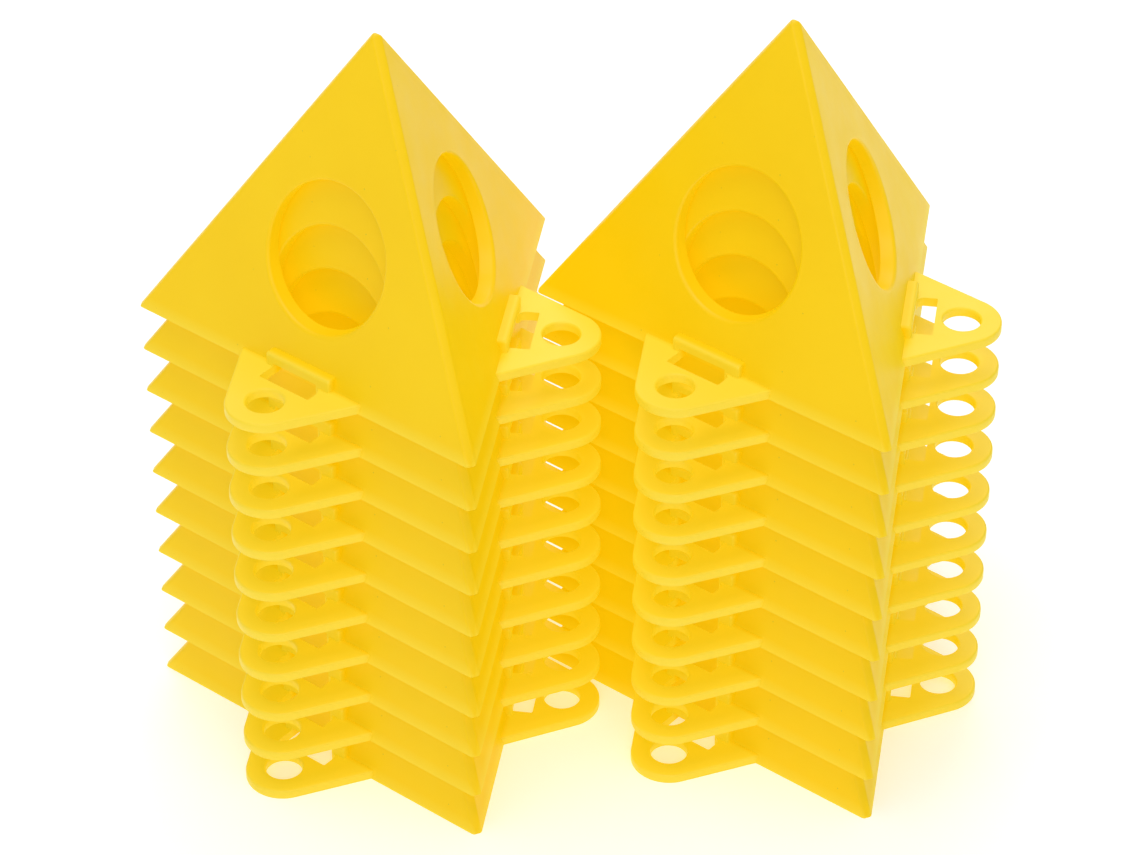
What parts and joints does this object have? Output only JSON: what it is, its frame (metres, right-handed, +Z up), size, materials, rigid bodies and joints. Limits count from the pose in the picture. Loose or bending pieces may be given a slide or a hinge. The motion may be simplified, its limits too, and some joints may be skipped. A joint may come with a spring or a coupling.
{
  "type": "painter's pyramid set",
  "caption": "Three-sided hollow plastic work stands with round windows and screw-down ears, nested in two stacks to hold work off a bench while it is painted.",
  "frame": {"origin": "bottom centre of the bounding box of the two stacks, on the surface they stand on", "axes": "+X along the row from the left stack to the right one, +Z up along the stacks, -Y towards the viewer"},
  "size_m": [0.1058, 0.0552, 0.1001],
  "materials": {
    "yellow_plastic": "satin injection-moulded polypropylene, slightly translucent"
  },
  "bodies": {
    "left_stack_stand_01": {"left_stack_stand_01": "yellow_plastic"},
    "left_stack_stand_02": {"left_stack_stand_02": "yellow_plastic"},
    "left_stack_stand_03": {"left_stack_stand_03": "yellow_plastic"},
    "left_stack_stand_04": {"left_stack_stand_04": "yellow_plastic"},
    "left_stack_stand_05": {"left_stack_stand_05": "yellow_plastic"},
    "left_stack_stand_06": {"left_stack_stand_06": "yellow_plastic"},
    "left_stack_stand_07": {"left_stack_stand_07": "yellow_plastic"},
    "left_stack_stand_08": {"left_stack_stand_08": "yellow_plastic"},
    "left_stack_stand_09": {"left_stack_stand_09": "yellow_plastic"},
    "left_stack_stand_10": {"left_stack_stand_10": "yellow_plastic"},
    "right_stack_stand_01": {"right_stack_stand_01": "yellow_plastic"},
    "right_stack_stand_02": {"right_stack_stand_02": "yellow_plastic"},
    "right_stack_stand_03": {"right_stack_stand_03": "yellow_plastic"},
    "right_stack_stand_04": {"right_stack_stand_04": "yellow_plastic"},
    "right_stack_stand_05": {"right_stack_stand_05": "yellow_plastic"},
    "right_stack_stand_06": {"right_stack_stand_06": "yellow_plastic"},
    "right_stack_stand_07": {"right_stack_stand_07": "yellow_plastic"},
    "right_stack_stand_08": {"right_stack_stand_08": "yellow_plastic"},
    "right_stack_stand_09": {"right_stack_stand_09": "yellow_plastic"},
    "right_stack_stand_10": {"right_stack_stand_10": "yellow_plastic"}
  },
  "joints": [
    {"name": "left_stack_stand_02_lift", "type": "slide", "parent": "left_stack_stand_01", "child": "left_stack_stand_02", "axis": [0, 0, 1], "range_m": [0, 0.04]},
    {"name": "left_stack_stand_03_lift", "type": "slide", "parent": "left_stack_stand_02", "child": "left_stack_stand_03", "axis": [0, 0, 1], "range_m": [0, 0.04]},
    {"name": "left_stack_stand_04_lift", "type": "slide", "parent": "left_stack_stand_03", "child": "left_stack_stand_04", "axis": [0, 0, 1], "range_m": [0, 0.04]},
    {"name": "left_stack_stand_05_lift", "type": "slide", "parent": "left_stack_stand_04", "child": "left_stack_stand_05", "axis": [0, 0, 1], "range_m": [0, 0.04]},
    {"name": "left_stack_stand_06_lift", "type": "slide", "parent": "left_stack_stand_05", "child": "left_stack_stand_06", "axis": [0, 0, 1], "range_m": [0, 0.04]},
    {"name": "left_stack_stand_07_lift", "type": "slide", "parent": "left_stack_stand_06", "child": "left_stack_stand_07", "axis": [0, 0, 1], "range_m": [0, 0.04]},
    {"name": "left_stack_stand_08_lift", "type": "slide", "parent": "left_stack_stand_07", "child": "left_stack_stand_08", "axis": [0, 0, 1], "range_m": [0, 0.04]},
    {"name": "left_stack_stand_09_lift", "type": "slide", "parent": "left_stack_stand_08", "child": "left_stack_stand_09", "axis": [0, 0, 1], "range_m": [0, 0.04]},
    {"name": "left_stack_stand_10_lift", "type": "slide", "parent": "left_stack_stand_09", "child": "left_stack_stand_10", "axis": [0, 0, 1], "range_m": [0, 0.04]},
    {"name": "right_stack_stand_02_lift", "type": "slide", "parent": "right_stack_stand_01", "child": "right_stack_stand_02", "axis": [0, 0, 1], "range_m": [0, 0.04]},
    {"name": "right_stack_stand_03_lift", "type": "slide", "parent": "right_stack_stand_02", "child": "right_stack_stand_03", "axis": [0, 0, 1], "range_m": [0, 0.04]},
    {"name": "right_stack_stand_04_lift", "type": "slide", "parent": "right_stack_stand_03", "child": "right_stack_stand_04", "axis": [0, 0, 1], "range_m": [0, 0.04]},
    {"name": "right_stack_stand_05_lift", "type": "slide", "parent": "right_stack_stand_04", "child": "right_stack_stand_05", "axis": [0, 0, 1], "range_m": [0, 0.04]},
    {"name": "right_stack_stand_06_lift", "type": "slide", "parent": "right_stack_stand_05", "child": "right_stack_stand_06", "axis": [0, 0, 1], "range_m": [0, 0.04]},
    {"name": "right_stack_stand_07_lift", "type": "slide", "parent": "right_stack_stand_06", "child": "right_stack_stand_07", "axis": [0, 0, 1], "range_m": [0, 0.04]},
    {"name": "right_stack_stand_08_lift", "type": "slide", "parent": "right_stack_stand_07", "child": "right_stack_stand_08", "axis": [0, 0, 1], "range_m": [0, 0.04]},
    {"name": "right_stack_stand_09_lift", "type": "slide", "parent": "right_stack_stand_08", "child": "right_stack_stand_09", "axis": [0, 0, 1], "range_m": [0, 0.04]},
    {"name": "right_stack_stand_10_lift", "type": "slide", "parent": "right_stack_stand_09", "child": "right_stack_stand_10", "axis": [0, 0, 1], "range_m": [0, 0.04]},
    {"name": "right_stack_shift", "type": "slide", "parent": "left_stack_stand_01", "child": "right_stack_stand_01", "axis": [1, 0, 0], "range_m": [0, 0.12]}
  ]
}
